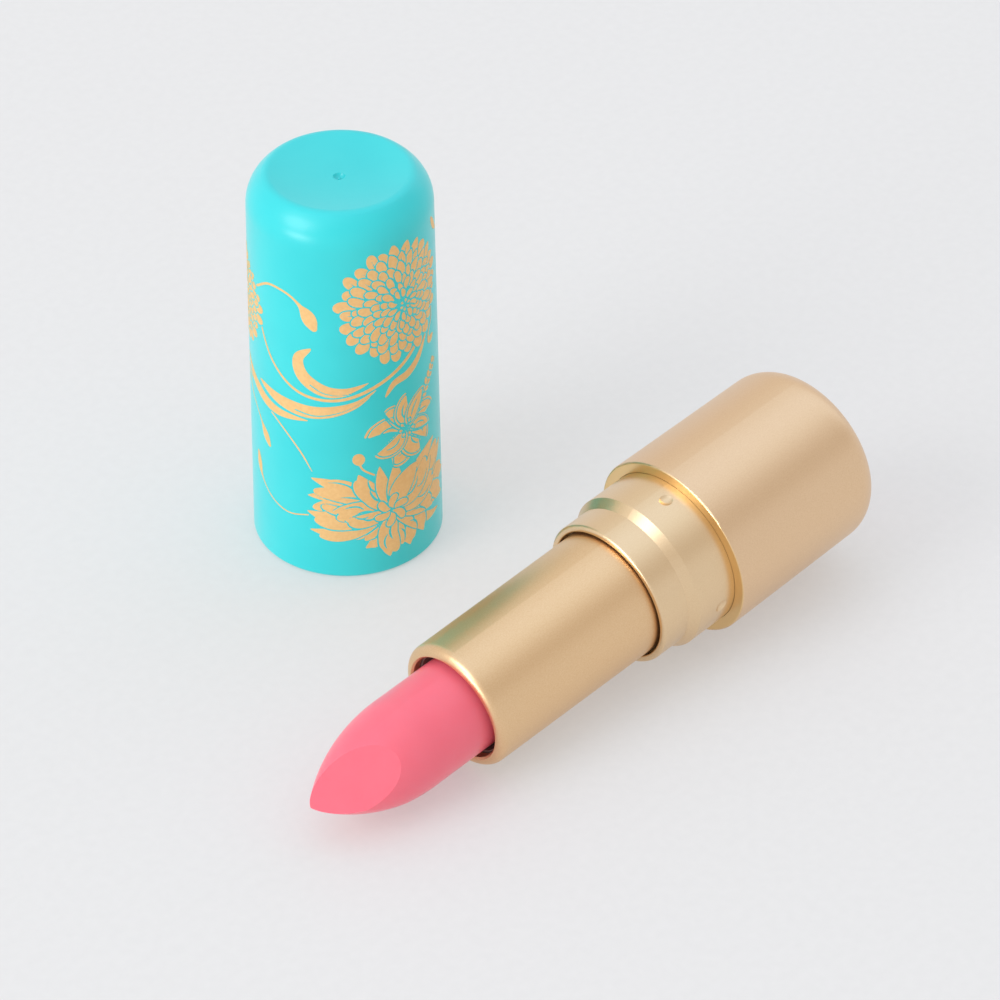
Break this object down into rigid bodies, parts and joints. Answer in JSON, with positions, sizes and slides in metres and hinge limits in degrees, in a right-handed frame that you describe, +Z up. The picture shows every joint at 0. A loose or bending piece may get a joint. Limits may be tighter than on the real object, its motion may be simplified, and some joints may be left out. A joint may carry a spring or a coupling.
{
  "type": "lipstick case",
  "caption": "Twist-up lipstick: turning inner tube and stepped collar on a round base, angled colour bullet wound out, tall domed pull-off cap standing beside it.",
  "frame": {"origin": "centre of the cap's open rim, on the floor", "axes": "+Z up; +X along the lying case, from the bullet's tip towards the closed end of the base; the case axis dips 5.7 degrees towards the tip"},
  "size_m": [0.0842, 0.0662, 0.0526],
  "materials": {
    "cap_coating": "satin soft-touch turquoise",
    "cap_foil": "matt hot-stamped gold foil",
    "white_plastic": "moulded white",
    "gold_anodised": "satin champagne gold",
    "label_paper": "smooth printed sticker",
    "ring_rubber": "matt",
    "colour_stick": "creamy satin wax"
  },
  "bodies": {
    "case_body": {"base_shell": "gold_anodised", "base_label": "label_paper", "base_plug": "white_plastic", "base_core": "white_plastic", "collar_core": "white_plastic", "collar_sleeve": "gold_anodised", "inner_fork": "white_plastic", "friction_ring": "ring_rubber"},
    "turning_tube": {"cam_tube": "white_plastic", "tube_shell": "gold_anodised"},
    "bullet_carrier": {"carrier_cup": "white_plastic", "bullet": "colour_stick"},
    "cap": {"cap_shell": "cap_coating", "cap_grip": "white_plastic"}
  },
  "joints": [
    {"name": "tube_twist", "type": "hinge", "parent": "case_body", "child": "turning_tube", "pos_m": [-0.02236, -0.04248, 0.00809], "axis": [-0.9951, 0, -0.0992], "range_deg": [-450, 0]},
    {"name": "bullet_lift", "type": "slide", "parent": "case_body", "child": "bullet_carrier", "axis": [-0.9951, 0, -0.0992], "range_m": [-0.0234, 0]},
    {"name": "cap_pull", "type": "slide", "parent": "case_body", "child": "cap", "axis": [0, 0, 1], "range_m": [0, 0.06]}
  ],
  "couplings": [
    {"joint": "tube_twist", "follows": "bullet_lift", "rad_per_m": 335.64}
  ]
}
